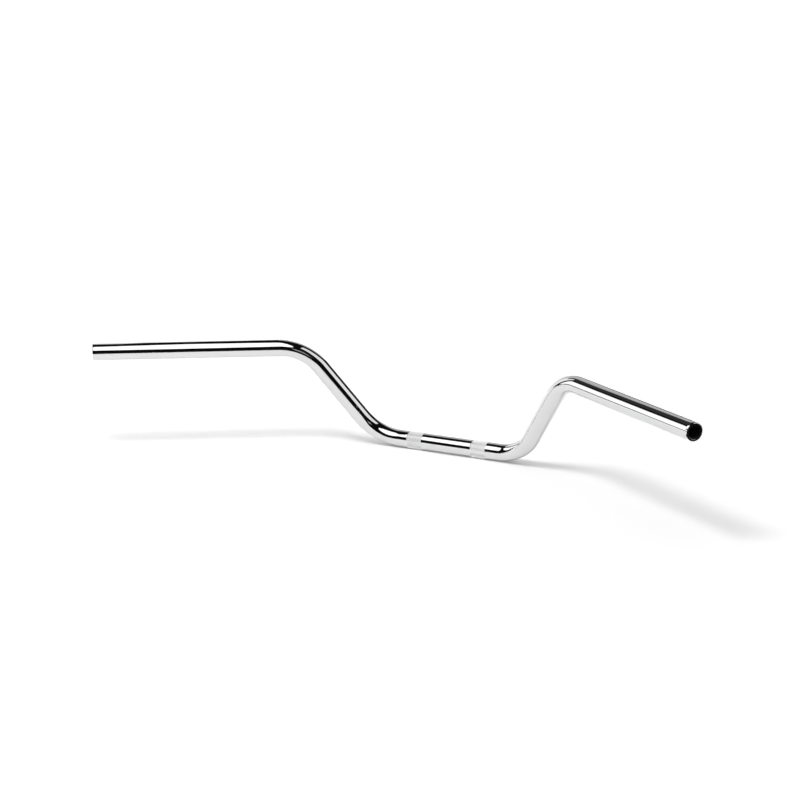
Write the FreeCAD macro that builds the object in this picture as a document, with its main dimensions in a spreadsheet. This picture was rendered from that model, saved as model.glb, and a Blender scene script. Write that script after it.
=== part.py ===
import FreeCAD, Part
import os
from math import cos, radians, sin, tan

import Sketcher
from FreeCAD import Vector

# Motorcycle handlebar: one chromed steel tube, bent twice on each side, open at both ends,
# with two knurled bands where the clamps of the top yoke hold it.
# Millimetres and degrees. The origin is the middle of the clamp section, on the tube's axis.
# +X points to the rider's right, +Y forwards and +Z up.

SIZES = (
    ("tube_diameter", "22.2", "outside diameter of the tube"),
    ("wall_thickness", "2.5", "wall of the tube"),
    ("clamp_straight", "141.5", "straight length between the two lower bends"),
    ("lower_bend_radius", "61", "centre-line radius of a lower bend"),
    ("riser_angle", "59", "rise of a riser from the clamp section, which is the turn of a lower bend"),
    ("riser_lean", "23.7", "lean of both risers towards the rider"),
    ("riser_straight", "86", "straight length of a riser between its two bends"),
    ("upper_bend_radius", "70", "centre-line radius of an upper bend"),
    ("grip_sweep", "33.3", "sweep of a level grip back towards the rider"),
    ("grip_straight", "240", "straight length of a grip, from its bend to the open end"),
    ("band_spacing", "92.5", "distance between the middles of the two knurled bands"),
    ("band_width", "21.5", "width of a knurled band along the tube"),
    ("groove_count", "60", "knurl grooves around a band"),
    ("groove_depth", "0.45", "depth of a knurl groove"),
    ("groove_angle", "90", "angle between the flanks of a knurl groove"),
    ("rim_chamfer", "0.6", "chamfer on the outer edge of an open end"),
    ("bore_chamfer", "0.4", "chamfer on the inner edge of an open end"),
)

ORIGIN = (-1, 1)  # a sketch's own origin, as its geometry number and point number
UPRIGHT_AXIS = -2  # a sketch's own vertical axis
START, END, MIDDLE = 1, 2, 3  # the points of a line or a circle in a sketch


def make_sheet(doc):
    """The driving dimensions, one to a row: what it is, its value and its alias."""
    sheet = doc.addObject("Spreadsheet::Sheet", "sizes")
    for row, (alias, value, meaning) in enumerate(SIZES, start=1):
        sheet.set(f"A{row}", meaning)
        sheet.set(f"B{row}", value)
        sheet.setAlias(f"B{row}", alias)
    doc.recompute()
    return sheet


def setback(radius, turn):
    """How far before its corner a bend of this radius starts to turn."""
    return radius * tan(turn / 2)


def centre_line_corners(sheet):
    """The six points, from left to right, where the straight runs of the tube would meet."""
    rise, lean, sweep = (radians(sheet.get(name)) for name in ("riser_angle", "riser_lean", "grip_sweep"))
    riser_way = Vector(cos(rise), -sin(rise) * sin(lean), sin(rise) * cos(lean))
    grip_way = Vector(cos(sweep), -sin(sweep), 0)
    lower_setback = setback(sheet.get("lower_bend_radius"), rise)
    upper_setback = setback(sheet.get("upper_bend_radius"), riser_way.getAngle(grip_way))
    lower = Vector(sheet.get("clamp_straight") / 2 + lower_setback, 0, 0)
    upper = lower + riser_way * (lower_setback + sheet.get("riser_straight") + upper_setback)
    end = upper + grip_way * (upper_setback + sheet.get("grip_straight"))
    right_side = [lower, upper, end]
    left_side = [Vector(-corner.x, corner.y, corner.z) for corner in reversed(right_side)]
    return left_side + right_side


def rounded_path(corners, radii):
    """A wire of straight runs through the corners, with a tangent arc at each inner one."""
    edges = []
    start = corners[0]
    for before, corner, after, radius in zip(corners, corners[1:], corners[2:], radii):
        along = (corner - before).normalize()
        away = (after - corner).normalize()
        inward = (away - along).normalize()
        turn = along.getAngle(away)
        arc_start = corner - along * setback(radius, turn)
        arc_middle = corner + inward * (radius / cos(turn / 2) - radius)
        arc_end = corner + away * setback(radius, turn)
        edges.append(Part.LineSegment(start, arc_start).toShape())
        edges.append(Part.Arc(arc_start, arc_middle, arc_end).toShape())
        start = arc_end
    edges.append(Part.LineSegment(start, corners[-1]).toShape())
    return Part.Wire(edges)


def make_centre_line(doc, sheet):
    """The bent axis of the tube, from the left open end to the right one."""
    lower, upper = sheet.get("lower_bend_radius"), sheet.get("upper_bend_radius")
    centre_line = doc.addObject("Part::Feature", "centre_line")
    centre_line.Shape = rounded_path(centre_line_corners(sheet), [upper, lower, lower, upper])
    return centre_line


def origin_feature(body, role):
    return next(item for item in body.Origin.OriginFeatures if item.Role == role)


def add_tube(doc, sheet, body, centre_line):
    """The ring of the tube's section, swept along the bent axis."""
    path = body.newObject("PartDesign::SubShapeBinder", "bend_path")
    path.Support = [(centre_line, "")]
    doc.recompute()

    section = body.newObject("Sketcher::SketchObject", "tube_section")
    section.AttachmentSupport = [(path, "Edge1")]
    section.MapMode = "NormalToEdge"
    section.MapPathParameter = 0.0
    outer, wall = sheet.get("tube_diameter"), sheet.get("wall_thickness")
    ring = (
        (outer, "sizes.tube_diameter"),
        (outer - 2 * wall, "sizes.tube_diameter - 2 * sizes.wall_thickness"),
    )
    for diameter, rule in ring:
        circle = section.addGeometry(Part.Circle(Vector(), Vector(0, 0, 1), diameter / 2), False)
        section.addConstraint(Sketcher.Constraint("Coincident", circle, MIDDLE, *ORIGIN))
        size = section.addConstraint(Sketcher.Constraint("Diameter", circle, diameter))
        section.setExpression(f"Constraints[{size}]", rule)

    tube = body.newObject("PartDesign::AdditivePipe", "bent_tube")
    tube.Profile = section
    tube.Spine = (path, [f"Edge{number}" for number, _ in enumerate(path.Shape.Edges, start=1)])
    doc.recompute()
    return tube


def end_edges(feature, ends, radius):
    """The names of the circles of this radius around the two open ends."""
    names = []
    for number, edge in enumerate(feature.Shape.Edges, start=1):
        circle = edge.Curve
        if not isinstance(circle, Part.Circle) or abs(circle.Radius - radius) > Part.Precision.confusion():
            continue
        if min((circle.Center - end).Length for end in ends) < Part.Precision.confusion():
            names.append(f"Edge{number}")
    return names


def finish_ends(doc, sheet, body, tube, ends):
    """Break the sharp outer and inner edges of the two sawn ends with chamfers."""
    outer = sheet.get("tube_diameter") / 2
    chamfers = (
        ("rim_chamfer", outer),
        ("bore_chamfer", outer - sheet.get("wall_thickness")),
    )
    feature = tube
    for name, radius in chamfers:
        chamfer = body.newObject("PartDesign::Chamfer", name)
        chamfer.Base = (feature, end_edges(feature, ends, radius))
        chamfer.setExpression("Size", f"sizes.{name}")
        doc.recompute()
        feature = chamfer
    return feature


def draw_groove(sheet, sketch):
    """One V-shaped knurl groove at the top of the tube, open upwards and pointing at the axis."""
    radius, depth = sheet.get("tube_diameter") / 2, sheet.get("groove_depth")
    half_width = 2 * depth * tan(radians(sheet.get("groove_angle")) / 2)
    root = Vector(0, radius - depth, 0)
    left, right = Vector(-half_width, radius + depth, 0), Vector(half_width, radius + depth, 0)
    flank, mouth, other_flank = (
        sketch.addGeometry(Part.LineSegment(start, end), False)
        for start, end in ((root, left), (left, right), (right, root))
    )
    for line, following in ((flank, mouth), (mouth, other_flank), (other_flank, flank)):
        sketch.addConstraint(Sketcher.Constraint("Coincident", line, END, following, START))
    sketch.addConstraint(Sketcher.Constraint("PointOnObject", flank, START, UPRIGHT_AXIS))
    sketch.addConstraint(Sketcher.Constraint("Symmetric", mouth, START, mouth, END, UPRIGHT_AXIS))
    heights = (
        (flank, radius - depth, "sizes.tube_diameter / 2 - sizes.groove_depth"),
        (mouth, radius + depth, "sizes.tube_diameter / 2 + sizes.groove_depth"),
    )
    for line, height, rule in heights:
        size = sketch.addConstraint(Sketcher.Constraint("DistanceY", *ORIGIN, line, START, height))
        sketch.setExpression(f"Constraints[{size}]", rule)
    opening = radians(sheet.get("groove_angle"))
    size = sketch.addConstraint(Sketcher.Constraint("Angle", other_flank, END, flank, START, opening))
    sketch.setExpression(f"Constraints[{size}]", "sizes.groove_angle")


def add_knurl(doc, sheet, body, side, inner_end):
    """A band of straight grooves along the tube, which keeps the bar from turning in its clamp."""
    section = body.newObject("Sketcher::SketchObject", f"{side}_groove_section")
    section.AttachmentSupport = [(origin_feature(body, "YZ_Plane"), "")]
    section.MapMode = "FlatFace"
    section.setExpression("AttachmentOffset.Base.z", inner_end)
    draw_groove(sheet, section)
    doc.recompute()

    groove = body.newObject("PartDesign::Pocket", f"{side}_groove")
    groove.Profile = section
    groove.Reversed = True
    groove.setExpression("Length", "sizes.band_width")
    doc.recompute()

    knurl = body.newObject("PartDesign::PolarPattern", f"{side}_knurl")
    knurl.Originals = [groove]
    knurl.Axis = (origin_feature(body, "X_Axis"), [""])
    knurl.setExpression("Occurrences", "sizes.groove_count")
    body.Tip = knurl
    doc.recompute()
    return knurl


def make_handlebar(doc, sheet):
    """The whole bar, as one body."""
    body = doc.addObject("PartDesign::Body", "handlebar")
    body.Label = "handlebar"
    body.Placement = FreeCAD.Placement()
    tube = add_tube(doc, sheet, body, make_centre_line(doc, sheet))
    corners = centre_line_corners(sheet)
    stages = [tube, finish_ends(doc, sheet, body, tube, (corners[0], corners[-1]))]
    bands = (
        ("right", "(sizes.band_spacing - sizes.band_width) / 2"),
        ("left", "-(sizes.band_spacing + sizes.band_width) / 2"),
    )
    for side, inner_end in bands:
        stages.append(add_knurl(doc, sheet, body, side, inner_end))
    for before, after in zip(stages, stages[1:]):
        if after.Shape.Volume >= before.Shape.Volume:
            raise RuntimeError(f"{after.Name} takes nothing off {before.Name}")
    return body


def check(doc, sub_parts):
    """Stop if any object failed, or a sub-part isn't one sound solid."""
    for item in doc.Objects:
        if "Invalid" in item.State or "Error" in item.State:
            raise RuntimeError(f"{item.Label} failed: {item.State}")
    for item in sub_parts:
        if item.Shape.isNull() or not item.Shape.isValid() or len(item.Shape.Solids) != 1:
            raise RuntimeError(f"{item.Label} isn't one valid solid")


def main():
    doc = FreeCAD.newDocument("motorcycle_handlebar")
    sheet = make_sheet(doc)
    sub_parts = [make_handlebar(doc, sheet)]
    check(doc, sub_parts)
    os.makedirs("parts", exist_ok=True)
    for item in sub_parts:
        item.Shape.exportStep(f"parts/{item.Label}.step")


main()
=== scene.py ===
"""A chromed motorcycle handlebar on a white table: its visible surfaces, their finishes and the studio."""

from math import cos, pi, radians, sin, tan

import bpy
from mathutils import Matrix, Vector


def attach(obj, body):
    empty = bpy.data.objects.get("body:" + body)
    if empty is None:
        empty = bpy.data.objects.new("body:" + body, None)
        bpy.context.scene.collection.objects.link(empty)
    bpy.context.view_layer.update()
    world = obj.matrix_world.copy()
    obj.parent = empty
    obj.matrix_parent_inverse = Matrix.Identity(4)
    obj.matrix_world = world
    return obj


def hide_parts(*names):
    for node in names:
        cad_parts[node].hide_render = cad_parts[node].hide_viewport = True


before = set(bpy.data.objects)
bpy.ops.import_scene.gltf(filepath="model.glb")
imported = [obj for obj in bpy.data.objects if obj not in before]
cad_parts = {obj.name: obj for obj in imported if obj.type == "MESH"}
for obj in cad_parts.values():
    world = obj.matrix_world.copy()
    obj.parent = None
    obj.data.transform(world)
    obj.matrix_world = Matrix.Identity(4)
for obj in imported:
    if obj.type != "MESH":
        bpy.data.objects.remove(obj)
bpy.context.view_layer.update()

MM = 0.001

# The bar's sizes, the same as in its solid.
TUBE_RADIUS = 11.1 * MM
WALL = 2.5 * MM
CLAMP_STRAIGHT = 141.5 * MM
RISER_STRAIGHT = 86 * MM
GRIP_STRAIGHT = 240 * MM
LOWER_BEND_RADIUS = 61 * MM
UPPER_BEND_RADIUS = 70 * MM
RISER_ANGLE = radians(59)
RISER_LEAN = radians(23.7)
GRIP_SWEEP = radians(33.3)
BAND_SPACING = 92.5 * MM
BAND_WIDTH = 21.5 * MM
RIDGE_COUNT = 60

# Details finer than the solid's.
OUTER_LIP = 0.9 * MM  # rounding of an open end's outer edge
INNER_LIP = 0.2 * MM
GROOVE_DEPTH = 0.5 * MM
GROOVE_RUNOUT = 0.9 * MM  # length over which a groove comes up to the surface
SHOULDER_ROUNDING = 0.12 * MM
RIDGE_WIDTH = 1.1 * MM
RIDGE_HEIGHT = 0.62 * MM
RIDGE_ROOT = 0.3 * MM  # part of a ridge that is sunk in the tube
CREST_ROUNDING = 0.1 * MM
CREST_CUT = 0.05 * MM  # what the rounding takes off a ridge's crest
BEND_FLATTENING = 0.05  # share of the tube's width lost across a bend
BEND_SPREADING = 0.02  # share of the width gained square to that
FLATTENING_RAMP = 0.3  # share of a bend over which the flattening sets in

# How finely the meshes are divided.
FACETS_AROUND = 120
ROW_PITCH = 3 * MM
BORE_ROW_PITCH = 12 * MM
BEND_FACETS = 96
LIP_FACETS = 6
CREST_FACETS = 3

# The finishes: their colours, and the sizes of their marks.
CHROME, HAZY_CHROME = (0.705, 0.705, 0.705), (0.665, 0.665, 0.675)
# The knurl's roots are coloured darker than its crests: painted shade in the recesses.
SHADED_KNURL_ROOT, KNURL_CREST = (0.86, 0.86, 0.87), (0.98, 0.98, 0.98)
BARE_STEEL, PLATED_STEEL = (0.15, 0.145, 0.14), (0.5, 0.5, 0.5)
BORE_DEPTH = 0.99  # share of the wall's depth from which a face is part of the bore
END_FACE_DEPTHS = 0.12 * MM, 0.04 * MM  # how near to an end its turning marks set in, and are full
TURNING_PITCH = 0.16 * MM  # from one turned ring to the next
CREST_DEPTH = 0.1 * MM  # how near to the surface a ridge is at its brightest, above the roots' painted shade
PLATED_DEPTHS = 4 * MM, 26 * MM  # how deep in the bore the plating starts to thin out, and ends
PLATING_WANDER = 14 * MM  # unevenness of that edge

# The camera.
CAMERA_AZIMUTH = radians(27.915)
CAMERA_ELEVATION = radians(14.72)
CAMERA_PLACE = Vector((1.2941, -2.5776, 0.8182))
LENS = 103.63
SENSOR = 36

# The studio set stands square to the camera. Places are to the right, away from the camera and up.
TABLE_REACH = 9.5
TABLE_HEIGHT = -TUBE_RADIUS
TABLE_FRONT, TABLE_LEFT, TABLE_RIGHT = -0.47, -1.1, 0.62  # edges of the part that isn't covered with cloth
FRONT_CORNER_LEFT, FRONT_CORNER_BACK = -0.03, -0.27  # edges of its front right corner, which is covered
SHADE_CLOTH_LEFT, SHADE_CLOTH_FRONT = 0.2, 0.1  # edges of its back right corner, which is covered too, with black cloth as painted shade mirrored in the chrome
TABLE_COLOUR = 0.97
TABLE_LEVEL, TABLE_FALL = 1.07, 0.19  # how bright it is seen in the middle, and what it loses per metre to the right
LEAST_LEVEL = 1.02  # how bright it is seen at least
CLOTH_HEIGHT = TABLE_HEIGHT + MM
CLOTH_BLACK = (0.012, 0.012, 0.013)
DRAPE_REACH, DRAPE_TOP = 9, 13
DIM_DRAPE_AWAY, DIM_DRAPE_RIGHT = 8.9, -1.5

# The lamp and the light of the room.
KEY_PLACE, KEY_RADIUS = (-0.5, -0.62, 1.42), 0.26
KEY_HEIGHT = KEY_PLACE[2] - TABLE_HEIGHT
KEY_LIGHT, ROOM_LIGHT = 0.62, 0.5  # what each gives a white table under the lamp
ROOM_EDGE, ROOM_RISE = 0.2, 1.6  # the room's brightness level with the table, and what is added overhead

# How strongly the lit cards glow.
WHITE = (1, 1, 1, 1)
GLOWS = {
    "softbox": 1.7, "left_window": 1.5, "left_sweep": 1.17, "right_window": 1.04,
    "left_wall": 1.06, "front_window": 0.4, "dim_drape": 0.037,
}
WALL_FOOT, WALL_TOP = (0.72, 0.72, 0.73), (0.54, 0.54, 0.56)  # colours of the back wall's glow

# The round softbox lies level. It is cut off at its back left, where away less right comes to the cut.
SOFTBOX_PLACE, SOFTBOX_RADIUS, SOFTBOX_CUT = (-0.403, -0.35, 0.598), 0.428, 0.43
SOFTBOX_FACETS = 96

# The upright cards: the side that each stands on, and its reach along that side and up.
LEFT_SIDE, RIGHT_SIDE, FRONT_SIDE = -7, 7, -8.5
RIGHT_WINDOW = (-4.2, 2.3), (0, 11.9)
FRONT_WINDOW = (2.4, 4.4), (1.8, 4.3)

# Those with a free outline: its corners along that side and up.
BACK_SIDE, WALL_DRAPE_SIDE = 0.95, 0.94
LEFT_WINDOW = (
    (2.6, 0.05), (5.25, 0.05), (5.25, 4.1), (4.45, 4.5), (4.45, 7.2), (3.3, 7.4),
    (1.8, 7.2), (0, 5.2), (-0.3, 4.3), (0.2, 3.2), (1.2, 2.75), (2.7, 2.75),
)
LEFT_SWEEP = ((-3.5, 0), (2.6, 0), (2.6, 1.7), (-1.0, 1.2), (-3.5, 0.75))
LEFT_WALL = ((-0.98, 0), (-0.24, 0), (-0.24, 0.6), (-0.5, 0.62), (-0.55, 1.06), (-0.88, 1.06))
BACK_WALL = (
    (-0.24, 0), (0.55, 0), (0.56, 0.35), (0.48, 0.57), (0.38, 0.74),
    (0.3, 0.83), (0.2, 0.92), (0.1, 1.0), (-0.24, 1.02),
)
WALL_DRAPE = ((0.1, 0), (0.5, 0), (0.5, 0.42), (0.34, 0.34), (0.2, 0.24), (0.1, 0.14))


class Link:
    """An output of a node. Arithmetic on it adds Math nodes to its tree."""

    def __init__(self, tree, socket=None):
        self.tree, self.socket = tree, socket

    def node(self, kind, settings=None, inputs=None, output=0):
        """Add a node: first its settings, then the values or links of its inputs. Gives one of its outputs."""
        made = self.tree.nodes.new(kind)
        for name, value in (settings or {}).items():
            setattr(made, name, value)
        for key, value in (inputs or {}).items():
            if isinstance(value, Link):
                self.tree.links.new(value.socket, made.inputs[key])
            else:
                made.inputs[key].default_value = value
        return Link(self.tree, made.outputs[output] if made.outputs else None)

    def also(self, output):
        """Another output of the same node."""
        return Link(self.tree, self.socket.node.outputs[output])

    def math(self, operation, *operands):
        return self.node("ShaderNodeMath", {"operation": operation}, dict(enumerate(operands)))

    def vectors(self, operation, *operands, output=0):
        return self.node("ShaderNodeVectorMath", {"operation": operation}, dict(enumerate(operands)), output)

    def __add__(self, other):
        return self.math("ADD", self, other)

    def __radd__(self, other):
        return self.math("ADD", other, self)

    def __sub__(self, other):
        return self.math("SUBTRACT", self, other)

    def __rsub__(self, other):
        return self.math("SUBTRACT", other, self)

    def __mul__(self, other):
        return self.math("MULTIPLY", self, other)

    def __rmul__(self, other):
        return self.math("MULTIPLY", other, self)

    def __truediv__(self, other):
        return self.math("DIVIDE", self, other)

    def __rtruediv__(self, other):
        return self.math("DIVIDE", other, self)

    def rising(self, low, high):
        """0 up to low, 1 from high on, and a smooth step between them."""
        span = {"Value": self, "From Min": low, "From Max": high}
        return self.node("ShaderNodeMapRange", {"interpolation_type": "SMOOTHSTEP"}, span)

    def scaled(self, factor):
        """A vector times a number or a value."""
        return self.node("ShaderNodeVectorMath", {"operation": "SCALE"}, {"Vector": self, "Scale": factor})

    def part(self, axis):
        """One coordinate of a vector."""
        return self.node("ShaderNodeSeparateXYZ", None, {"Vector": self}, axis)


def polyline(name, points, closed=False, **attributes):
    """An object of straight edges through the points, with a number for each point under each attribute's name."""
    mesh = bpy.data.meshes.new(name)
    edges = [(i, i + 1) for i in range(len(points) - 1)]
    mesh.from_pydata(points, edges + [(len(points) - 1, 0)] * closed, [])
    for label, values in attributes.items():
        mesh.attributes.new(label, "FLOAT", "POINT").data.foreach_set("value", values)
    line = bpy.data.objects.new(name, mesh)
    bpy.context.scene.collection.objects.link(line)
    return line


def new_tree(name, sizes):
    """A Geometry Nodes tree with an input for each named size. Gives the tree and its first node."""
    tree = bpy.data.node_groups.new(name, "GeometryNodeTree")
    tree.interface.new_socket("Geometry", in_out="INPUT", socket_type="NodeSocketGeometry")
    for label, kind in sizes.items():
        tree.interface.new_socket(label, in_out="INPUT", socket_type=f"NodeSocket{kind}")
    tree.interface.new_socket("Geometry", in_out="OUTPUT", socket_type="NodeSocketGeometry")
    return tree, Link(tree).node("NodeGroupInput")


def grow(name, source, tree, sizes):
    """The plain mesh that a tree makes of the source object, which is then removed."""
    modifier = source.modifiers.new(name, "NODES")
    modifier.node_group = tree
    for item in tree.interface.items_tree:
        if item.in_out == "INPUT" and item.name in sizes:
            modifier[item.identifier] = sizes[item.name]
    made = source.evaluated_get(bpy.context.evaluated_depsgraph_get())
    mesh = bpy.data.meshes.new_from_object(made)
    mesh.name = name
    source.modifiers.remove(modifier)
    bpy.data.objects.remove(source)
    piece = bpy.data.objects.new(name, mesh)
    bpy.context.scene.collection.objects.link(piece)
    return piece


# The bent tube

def setback(radius, turn):
    """How far before its corner a bend of this radius starts to turn."""
    return radius * tan(turn / 2)


def centre_line():
    """The corners of the bar's axis from left to right, with each bend's radius, and its length when straight."""
    rise, lean = RISER_ANGLE, RISER_LEAN
    riser_way = Vector((cos(rise), -sin(rise) * sin(lean), sin(rise) * cos(lean)))
    grip_way = Vector((cos(GRIP_SWEEP), -sin(GRIP_SWEEP), 0))
    upper_turn = riser_way.angle(grip_way)
    lower_setback = setback(LOWER_BEND_RADIUS, rise)
    upper_setback = setback(UPPER_BEND_RADIUS, upper_turn)
    lower = Vector((CLAMP_STRAIGHT / 2 + lower_setback, 0, 0))
    upper = lower + riser_way * (lower_setback + RISER_STRAIGHT + upper_setback)
    end = upper + grip_way * (upper_setback + GRIP_STRAIGHT)
    right = [(end, 0), (upper, UPPER_BEND_RADIUS), (lower, LOWER_BEND_RADIUS)]
    left = [(Vector((-corner.x, corner.y, corner.z)), radius) for corner, radius in right]
    corners, radii = zip(*(left + right[::-1]))
    half = LOWER_BEND_RADIUS * rise + RISER_STRAIGHT + UPPER_BEND_RADIUS * upper_turn + GRIP_STRAIGHT
    return polyline("centre_line", corners, bend_radius=radii), CLAMP_STRAIGHT + 2 * half


def wall_section(length):
    """The outline of the straight tube's wall, cut lengthwise: depth under the surface, and place along it."""
    near, far = (BAND_SPACING - BAND_WIDTH) / 2, (BAND_SPACING + BAND_WIDTH) / 2
    right = [
        (near, 0, SHOULDER_ROUNDING),
        (near + GROOVE_RUNOUT, GROOVE_DEPTH, SHOULDER_ROUNDING),
        (far - GROOVE_RUNOUT, GROOVE_DEPTH, SHOULDER_ROUNDING),
        (far, 0, SHOULDER_ROUNDING),
        (length / 2, 0, OUTER_LIP),
        (length / 2, WALL, INNER_LIP),
    ]
    left = [(-along, depth, rounding) for along, depth, rounding in reversed(right)]
    outline = right + left
    points = [(-depth, along, 0) for along, depth, _ in outline]
    return polyline("wall_section", points, closed=True, rounding=[rounding for *_, rounding in outline])


def bent_tube_tree(chrome, bore):
    """Turn the wall's section into a straight tube, bend it along the centre line and flatten it in the bends."""
    tree, given = new_tree("bent tube", {
        "Centre Line": "Object", "Length": "Float", "Tube Radius": "Float", "Wall": "Float",
        "Bend Facets": "Int", "Lip Facets": "Int", "Facets Around": "Int",
        "Row Pitch": "Float", "Bore Row Pitch": "Float",
        "Flattening": "Float", "Spreading": "Float", "Flattening Ramp": "Float",
    })
    position = given.node("GeometryNodeInputPosition")
    index = given.node("GeometryNodeInputIndex")

    def at(place):
        asked = {"Value": position, "Index": place}
        return given.node("GeometryNodeFieldAtIndex", {"data_type": "FLOAT_VECTOR"}, asked)

    def rounded(mesh, facets, radius):
        line = given.node("GeometryNodeMeshToCurve", None, {"Mesh": mesh})
        radius = given.node("GeometryNodeInputNamedAttribute", None, {"Name": radius})
        corners = {"Curve": line, "Count": facets, "Radius": radius}
        return given.node("GeometryNodeFilletCurve", {"mode": "POLY"}, corners)

    # The axis, with the way to the inside of each bend and how far the flattening has set in there.
    axis = given.node("GeometryNodeObjectInfo", None, {"Object": given.also("Centre Line")}, "Geometry")
    axis = rounded(axis, given.also("Bend Facets"), "bend_radius")
    chord = at(index - 1).vectors("ADD", at(index - 1), at(index + 1))
    inward = chord.vectors("NORMALIZE", chord.vectors("SUBTRACT", chord, position.scaled(2)))
    facets = given.also("Bend Facets")
    turned = index.math("FLOORED_MODULO", index - 1, facets + 1) / facets
    ramp = given.also("Flattening Ramp")
    flat = turned.rising(0, ramp) * (1 - turned).rising(0, ramp)

    # The straight tube.
    section = rounded(given.also("Geometry"), given.also("Lip Facets"), "rounding")
    step = {"Point Index": index, "Offset": 1}
    following = given.node("GeometryNodeOffsetPointInCurve", None, step, "Point Index")
    run = position.vectors("DISTANCE", position, at(following), output="Value")
    in_bore = position.math("LESS_THAN", position.part("X"), given.also("Wall") * -0.5)
    pitch = given.also("Row Pitch") * (1 - in_bore) + given.also("Bore Row Pitch") * in_bore
    rows = {"Curve": section, "Cuts": run.math("FLOOR", run / pitch)}
    section = given.node("GeometryNodeSubdivideCurve", None, rows)
    circle = {"Resolution": given.also("Facets Around"), "Radius": given.also("Tube Radius")}
    circle = given.node("GeometryNodeCurvePrimitiveCircle", None, circle)
    tube = given.node("GeometryNodeCurveToMesh", None, {"Curve": circle, "Profile Curve": section})
    kept = {"Geometry": tube, "Name": "straight", "Value": position}
    tube = given.node("GeometryNodeStoreNamedAttribute", {"data_type": "FLOAT_VECTOR"}, kept)

    # The same tube, bent.
    along = position.part("Z") + given.also("Length") * 0.5

    def on_axis(kind, value):
        sampled = {"Curves": axis, "Value": value, "Length": along}
        return given.node("GeometryNodeSampleCurve", {"mode": "LENGTH", "data_type": kind}, sampled)

    inward, flat = on_axis("FLOAT_VECTOR", inward), on_axis("FLOAT", flat)
    normal, tangent = inward.also("Normal"), inward.also("Tangent")
    side = normal.vectors("CROSS_PRODUCT", tangent, normal)
    arm = normal.vectors("ADD", normal.scaled(position.part("X")), side.scaled(position.part("Y")))
    across = arm.vectors("DOT_PRODUCT", arm, inward, output="Value")
    flattening, spreading = given.also("Flattening"), given.also("Spreading")
    spread = arm.scaled(1 + spreading * flat)
    arm = arm.vectors("SUBTRACT", spread, inward.scaled(across * flat * (flattening + spreading)))
    bent = {"Geometry": tube, "Position": arm.vectors("ADD", inward.also("Position"), arm)}
    tube = given.node("GeometryNodeSetPosition", None, bent)

    # Its finishes, outside and in the bore.
    straight = given.node("GeometryNodeInputNamedAttribute", {"data_type": "FLOAT_VECTOR"}, {"Name": "straight"})
    radius = straight.vectors("LENGTH", straight.vectors("MULTIPLY", straight, (1, 1, 0)), output="Value")
    bore_radius = given.also("Tube Radius") - given.also("Wall") * BORE_DEPTH
    tube = given.node("GeometryNodeSetShadeSmooth", None, {"Geometry": tube})
    tube = given.node("GeometryNodeRealizeInstances", None, {"Geometry": tube})
    tube = given.node("GeometryNodeSetMaterial", None, {"Geometry": tube, "Material": chrome})
    inside = {"Geometry": tube, "Selection": radius.math("LESS_THAN", radius, bore_radius), "Material": bore}
    tube = given.node("GeometryNodeSetMaterial", None, inside)
    given.node("NodeGroupOutput", None, {"Geometry": tube})
    return tree


def make_tube():
    axis, length = centre_line()
    finishes = polished_chrome(length), bare_bore(length)
    tube = grow("bent_tube", wall_section(length), bent_tube_tree(*finishes), {
        "Centre Line": axis, "Length": length, "Tube Radius": TUBE_RADIUS, "Wall": WALL,
        "Bend Facets": BEND_FACETS, "Lip Facets": LIP_FACETS, "Facets Around": FACETS_AROUND,
        "Row Pitch": ROW_PITCH, "Bore Row Pitch": BORE_ROW_PITCH,
        "Flattening": BEND_FLATTENING, "Spreading": BEND_SPREADING, "Flattening Ramp": FLATTENING_RAMP,
    })
    bpy.data.objects.remove(axis)
    return tube


# The knurled bands

def knurl_tree(finish):
    """A ring of straight ridges along the tube round each point of the source."""
    tree, given = new_tree("knurl", {
        "Ridge Count": "Int", "Ridge Length": "Float", "Ridge Width": "Float", "Top Height": "Float",
        "Bottom Height": "Float", "Crest Rounding": "Float", "Crest Facets": "Int", "Ring Radius": "Float",
    })
    outline = {"Width": given.also("Ridge Width")}
    outline |= {height: given.also(height) for height in ("Top Height", "Bottom Height")}
    outline = given.node("GeometryNodeCurvePrimitiveQuadrilateral", {"mode": "KITE"}, outline)
    edges = {"Curve": outline, "Count": given.also("Crest Facets"), "Radius": given.also("Crest Rounding")}
    outline = given.node("GeometryNodeFilletCurve", {"mode": "POLY"}, edges)
    half = given.also("Ridge Length") * 0.5
    start, end = (given.node("ShaderNodeCombineXYZ", None, {"X": half * way}) for way in (-1, 1))
    line = given.node("GeometryNodeCurvePrimitiveLine", None, {"Start": start, "End": end})
    ridge = {"Curve": line, "Profile Curve": outline, "Fill Caps": True}
    ridge = given.node("GeometryNodeCurveToMesh", None, ridge)
    out = given.node("ShaderNodeCombineXYZ", None, {"Z": given.also("Ring Radius") * -1})
    ridge = given.node("GeometryNodeTransform", None, {"Geometry": ridge, "Translation": out})

    count = given.also("Ridge Count")
    copies = {"Geometry": given.also("Geometry"), "Amount": count}
    copies = given.node("GeometryNodeDuplicateElements", None, copies)
    turn = given.node("ShaderNodeCombineXYZ", None, {"X": copies.also("Duplicate Index") * (2 * pi) / count})
    ring = {"Points": copies, "Instance": ridge, "Rotation": turn}
    ring = given.node("GeometryNodeInstanceOnPoints", None, ring)
    ring = given.node("GeometryNodeSetShadeSmooth", None, {"Geometry": ring})
    ring = given.node("GeometryNodeRealizeInstances", None, {"Geometry": ring})
    ring = given.node("GeometryNodeSetMaterial", None, {"Geometry": ring, "Material": finish})
    given.node("NodeGroupOutput", None, {"Geometry": ring})
    return tree


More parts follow.
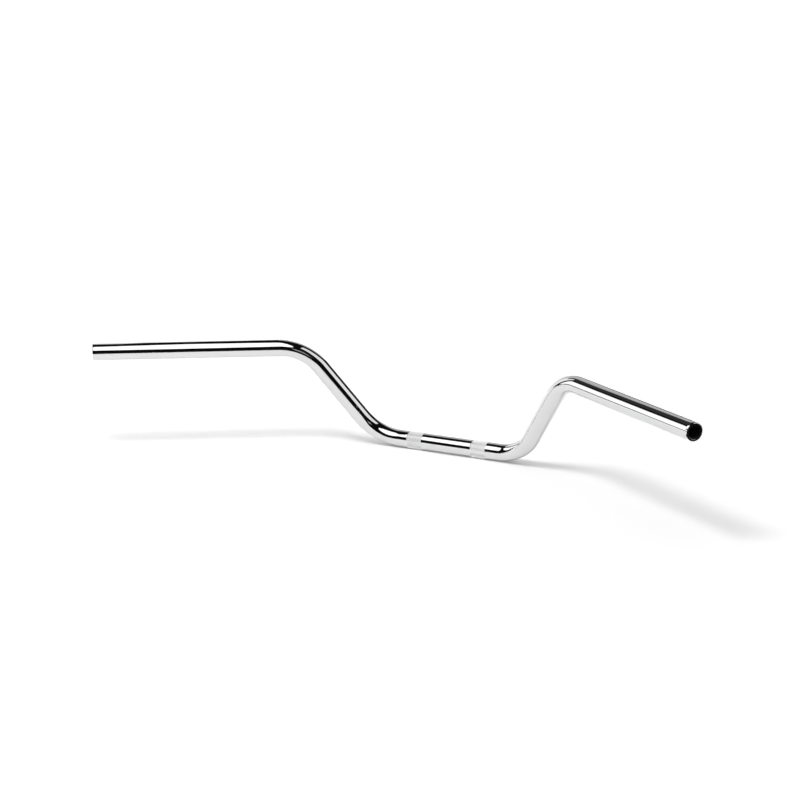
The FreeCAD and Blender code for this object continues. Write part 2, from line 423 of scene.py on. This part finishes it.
def make_knurl():
    middles = [(-BAND_SPACING / 2, 0, 0), (BAND_SPACING / 2, 0, 0)]
    return grow("knurled_bands", polyline("band_middles", middles), knurl_tree(knurled_chrome()), {
        "Ridge Count": RIDGE_COUNT, "Ridge Length": BAND_WIDTH,
        "Ridge Width": RIDGE_WIDTH, "Top Height": RIDGE_HEIGHT, "Bottom Height": RIDGE_ROOT,
        "Crest Rounding": CREST_ROUNDING, "Crest Facets": CREST_FACETS,
        "Ring Radius": TUBE_RADIUS + CREST_CUT - RIDGE_HEIGHT,
    })


# The finishes

def new_material(name):
    """An empty material, and a start for its nodes."""
    material = bpy.data.materials.new(name)
    material.use_nodes = True
    material.node_tree.nodes.clear()
    return material, Link(material.node_tree)


def straightened(start):
    """A point's place on the tube before it was bent, and its distance from the axis."""
    straight = start.node("ShaderNodeAttribute", {"attribute_name": "straight"}, None, "Vector")
    radius = straight.vectors("LENGTH", straight.vectors("MULTIPLY", straight, (1, 1, 0)), output="Value")
    return straight, radius


def noise(place, scale, detail, stretch=(1, 1, 1)):
    """Noise from 0 to 1 over a place, finer where the stretch is greater."""
    place = place.vectors("MULTIPLY", place, stretch)
    return place.node("ShaderNodeTexNoise", None, {"Vector": place, "Scale": scale, "Detail": detail})


def blend(factor, low, high):
    """From one colour to another."""
    colours = {"Factor": factor, "A": (*low, 1), "B": (*high, 1)}
    return factor.node("ShaderNodeMix", {"data_type": "RGBA"}, colours, "Result")


def polished_chrome(length):
    """Bright plating with a faint haze, polishing hairlines round the tube, and turning marks on the sawn ends."""
    material, start = new_material("polished_chrome")
    straight, radius = straightened(start)
    haze = noise(straight, scale=28, detail=4).rising(0.4, 0.7)
    smudges = noise(straight, scale=55, detail=3, stretch=(1, 1, 0.35)).rising(0.58, 0.78)
    hairlines = noise(straight, scale=1, detail=3, stretch=(240, 240, 5200)).rising(0.58, 0.8)
    ripple = noise(straight, scale=150, detail=2)
    first, full = (length / 2 - depth for depth in END_FACE_DEPTHS)
    end_face = straight.math("ABSOLUTE", straight.part("Z")).rising(first, full)
    rings = radius.math("SINE", radius * (2 * pi / TURNING_PITCH)) * 0.5 + 0.5
    bump = {"Strength": 0.05, "Distance": 0.1 * MM, "Height": ripple * (1 - end_face) + rings * end_face}
    shader = start.node("ShaderNodeBsdfPrincipled", None, {
        "Base Color": blend(haze * 0.6 + smudges * 0.4, CHROME, HAZY_CHROME),
        "Metallic": 1,
        "Roughness": 0.012 + 0.018 * haze + 0.03 * smudges + 0.025 * hairlines + 0.12 * end_face,
        "Normal": start.node("ShaderNodeBump", None, bump),
    })
    start.node("ShaderNodeOutputMaterial", None, {"Surface": shader})
    return material


def knurled_chrome():
    """Satin plating over the rolled ridges: bright crests, and duller roots darkened with painted shade."""
    material, start = new_material("knurled_chrome")
    place = start.node("ShaderNodeTexCoord", None, None, "Object")
    radius = place.vectors("LENGTH", place.vectors("MULTIPLY", place, (0, 1, 1)), output="Value")
    crest = radius.rising(TUBE_RADIUS - GROOVE_DEPTH, TUBE_RADIUS - CREST_DEPTH)
    grain = noise(place, scale=1800, detail=3, stretch=(0.25, 1, 1))
    bump = {"Strength": 0.15, "Distance": 0.05 * MM, "Height": grain}
    shader = start.node("ShaderNodeBsdfPrincipled", None, {
        # painted shade: the base colour darkens from the crests down into the roots
        "Base Color": blend(crest, SHADED_KNURL_ROOT, KNURL_CREST),
        "Metallic": 0.36 + 0.1 * grain,
        "Roughness": 0.58 - 0.2 * crest + 0.12 * grain,
        "Normal": start.node("ShaderNodeBump", None, bump),
    })
    start.node("ShaderNodeOutputMaterial", None, {"Surface": shader})
    return material


def bare_bore(length):
    """Drawn steel, dull and dark inside, with some of the plating carried over at the mouths."""
    material, start = new_material("bare_bore")
    straight, _ = straightened(start)
    drawn = noise(straight, scale=1, detail=4, stretch=(700, 700, 18))
    scale = noise(straight, scale=160, detail=4, stretch=(1, 1, 0.3)).rising(0.45, 0.65)
    depth = length / 2 - straight.math("ABSOLUTE", straight.part("Z"))
    plated = 1 - (depth + (drawn - 0.5) * PLATING_WANDER).rising(*PLATED_DEPTHS)
    bump = {"Strength": 0.3, "Distance": 0.1 * MM, "Height": drawn}
    shader = start.node("ShaderNodeBsdfPrincipled", None, {
        "Base Color": blend(plated, BARE_STEEL, PLATED_STEEL),
        "Metallic": 1 - 0.25 * scale * (1 - plated),
        "Roughness": 0.42 + 0.18 * drawn + 0.12 * scale - 0.2 * plated,
        "Normal": start.node("ShaderNodeBump", None, bump),
    })
    start.node("ShaderNodeOutputMaterial", None, {"Surface": shader})
    return material


# The studio

def in_set(right, away, up):
    """A point of the studio set: to the camera's right, away from the camera and up, from the bar's middle."""
    turn = CAMERA_AZIMUTH
    return Vector((right * cos(turn) - away * sin(turn), right * sin(turn) + away * cos(turn), up))


def panel(name, corners, material):
    """A flat piece of the set."""
    mesh = bpy.data.meshes.new(name)
    mesh.from_pydata([in_set(*corner) for corner in corners], [], [range(len(corners))])
    mesh.materials.append(material)
    made = bpy.data.objects.new(name, mesh)
    bpy.context.scene.collection.objects.link(made)
    return made


def lying(reach, up):
    """The corners of a level card, from its left, right, front and back."""
    left, right, front, back = reach
    return [(left, front, up), (right, front, up), (right, back, up), (left, back, up)]


def facing_sideways(right, reach, height):
    """The corners of an upright card on the left or right side."""
    (near, far), (low, high) = reach, height
    return [(right, near, low), (right, far, low), (right, far, high), (right, near, high)]


def facing_along(away, reach, height):
    """The corners of an upright card in front or at the back."""
    (left, right), (low, high) = reach, height
    return [(left, away, low), (right, away, low), (right, away, high), (left, away, high)]


def at_left(outline):
    """The corners of an upright card of this outline on the left side."""
    return [(LEFT_SIDE, away, up) for away, up in outline]


def at_back(outline, away):
    """The corners of an upright card of this outline at the back, standing on the table."""
    return [(right, away, TABLE_HEIGHT + up) for right, up in outline]


def round_softbox():
    """The corners of a round level card, cut off square to the diagonal at its back left."""
    right, away, up = SOFTBOX_PLACE
    turns = (2 * pi * number / SOFTBOX_FACETS for number in range(SOFTBOX_FACETS))
    edge = [(right + SOFTBOX_RADIUS * cos(turn), away + SOFTBOX_RADIUS * sin(turn), up) for turn in turns]
    return [corner for corner in edge if corner[1] - corner[0] < SOFTBOX_CUT]


def glow_paint(name):
    """Paint of a lit card."""
    material, start = new_material(name)
    glow = start.node("ShaderNodeEmission", None, {"Color": WHITE, "Strength": GLOWS[name]})
    start.node("ShaderNodeOutputMaterial", None, {"Surface": glow})
    return material


def wall_paint():
    """A pale wall behind the bar, lit from below and greyer towards its top edge."""
    material, start = new_material("back_wall")
    height = start.node("ShaderNodeTexCoord", None, None, "Object").part("Z")
    glow = start.node("ShaderNodeEmission", None, {"Color": blend(height.rising(0, 1), WALL_FOOT, WALL_TOP)})
    start.node("ShaderNodeOutputMaterial", None, {"Surface": glow})
    return material


def cloth_paint():
    material, start = new_material("black_cloth")
    cloth = start.node("ShaderNodeBsdfDiffuse", None, {"Color": (*CLOTH_BLACK, 1)})
    start.node("ShaderNodeOutputMaterial", None, {"Surface": cloth})
    return material


def seen_by_camera(start):
    """1 for what the camera sees, straight or in metal or glass, and 0 for light on its way to a dull surface."""
    path = start.node("ShaderNodeLightPath")
    seen = path.also("Is Camera Ray") + path.also("Is Glossy Ray") + path.also("Is Transmission Ray")
    return seen * path.math("LESS_THAN", path.also("Diffuse Depth"), 0.5)


def table_white():
    """White that keeps the shadows. Where it is seen it also glows, to make up what the light lacks of its level."""
    material, start = new_material("table_white")
    white = start.node("ShaderNodeBsdfDiffuse", None, {"Color": (TABLE_COLOUR, TABLE_COLOUR, TABLE_COLOUR, 1)})
    place = start.node("ShaderNodeTexCoord", None, None, "Object")
    nearness = KEY_HEIGHT / place.vectors("DISTANCE", place, in_set(*KEY_PLACE), output="Value")
    lit = TABLE_COLOUR * (ROOM_LIGHT + KEY_LIGHT * nearness * nearness * nearness)
    right = place.vectors("DOT_PRODUCT", place, in_set(1, 0, 0), output="Value")
    level = right.math("MAXIMUM", TABLE_LEVEL - TABLE_FALL * right, LEAST_LEVEL)
    missing = lit.math("MAXIMUM", level - lit, 0) * seen_by_camera(start)
    lift = start.node("ShaderNodeEmission", None, {"Color": blend(missing, (0, 0, 0), (1, 1, 1))})
    table = start.node("ShaderNodeAddShader", None, {0: white, 1: lift})
    start.node("ShaderNodeOutputMaterial", None, {"Surface": table})
    return material


def make_table():
    panel("table", lying((-TABLE_REACH, TABLE_REACH) * 2, TABLE_HEIGHT), table_white())


def make_cards():
    """What the chrome mirrors: a softbox, three windows, two walls at the back, and black cloth all round."""
    far, whole = DRAPE_REACH, (-DRAPE_REACH, DRAPE_REACH)
    height = (TABLE_HEIGHT, DRAPE_TOP)
    black = cloth_paint()

    def lit(name, corners):
        return panel(name, corners, glow_paint(name))

    def cloth(name, *reach):
        return panel(name, lying(reach, CLOTH_HEIGHT), black)

    def drape(name, corners):
        return panel(name, corners, black)

    cards = [
        lit("softbox", round_softbox()),
        lit("right_window", facing_sideways(RIGHT_SIDE, *RIGHT_WINDOW)),
        lit("left_window", at_left(LEFT_WINDOW)),
        lit("left_sweep", at_left(LEFT_SWEEP)),
        lit("left_wall", at_back(LEFT_WALL, BACK_SIDE)),
        panel("back_wall", at_back(BACK_WALL, BACK_SIDE), wall_paint()),
        drape("wall_drape", at_back(WALL_DRAPE, WALL_DRAPE_SIDE)),
        lit("front_window", facing_along(FRONT_SIDE, *FRONT_WINDOW)),
        lit("dim_drape", facing_along(DIM_DRAPE_AWAY, (-far, DIM_DRAPE_RIGHT), height)),
        cloth("front_cloth", -far, far, -far, TABLE_FRONT),
        cloth("corner_cloth", FRONT_CORNER_LEFT, far, TABLE_FRONT, FRONT_CORNER_BACK),
        # painted shade: black cloth on the table's back right, mirrored in the chrome as a darker floor right of and
        # behind the bar
        cloth("back_cloth", SHADE_CLOTH_LEFT, TABLE_RIGHT, SHADE_CLOTH_FRONT, far),
        cloth("left_cloth", -far, TABLE_LEFT, TABLE_FRONT, far),
        cloth("right_cloth", TABLE_RIGHT, far, TABLE_FRONT, far),
        drape("ceiling_drape", lying(whole * 2, DRAPE_TOP)),
        drape("right_drape", facing_sideways(far, whole, height)),
        drape("left_drape", facing_sideways(-far, whole, height)),
        drape("back_drape", facing_along(far, whole, height)),
        drape("front_drape", facing_along(-far, whole, height)),
    ]
    for card in cards:
        card.visible_camera = card.visible_diffuse = card.visible_shadow = False


def make_key_light():
    """A soft lamp over the front of the table."""
    lamp = bpy.data.lights.new("key_light", "POINT")
    lamp.shadow_soft_size = KEY_RADIUS
    lamp.energy = KEY_LIGHT * (2 * pi * KEY_HEIGHT) ** 2
    key = bpy.data.objects.new("key_light", lamp)
    key.location = in_set(*KEY_PLACE)
    key.visible_glossy = False
    bpy.context.scene.collection.objects.link(key)


def light_room():
    """Light from all round, strongest from overhead, and plain white where the camera, metal or glass sees it."""
    world = bpy.data.worlds.new("room")
    bpy.context.scene.world = world
    world.use_nodes = True
    world.node_tree.nodes.clear()
    start = Link(world.node_tree)
    seen = seen_by_camera(start)
    up = start.node("ShaderNodeTexCoord", None, None, "Generated").part("Z")
    light = ROOM_LIGHT * (ROOM_EDGE + ROOM_RISE * up * up)
    strength = light + (1 - light) * seen
    room = start.node("ShaderNodeBackground", None, {"Color": WHITE, "Strength": strength})
    start.node("ShaderNodeOutputWorld", None, {"Surface": room})


def place_camera():
    data = bpy.data.cameras.new("camera")
    data.lens, data.sensor_width = LENS, SENSOR
    camera = bpy.data.objects.new("camera", data)
    camera.location = CAMERA_PLACE
    camera.rotation_euler = (pi / 2 - CAMERA_ELEVATION, 0, CAMERA_AZIMUTH)
    bpy.context.scene.collection.objects.link(camera)
    bpy.context.scene.camera = camera


def main():
    tube, knurl = make_tube(), make_knurl()
    for piece in (tube, knurl):
        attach(piece, "root")
    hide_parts("handlebar")

    make_table()
    make_cards()
    make_key_light()
    light_room()
    place_camera()
    bpy.context.scene.view_settings.view_transform = "Standard"


main()
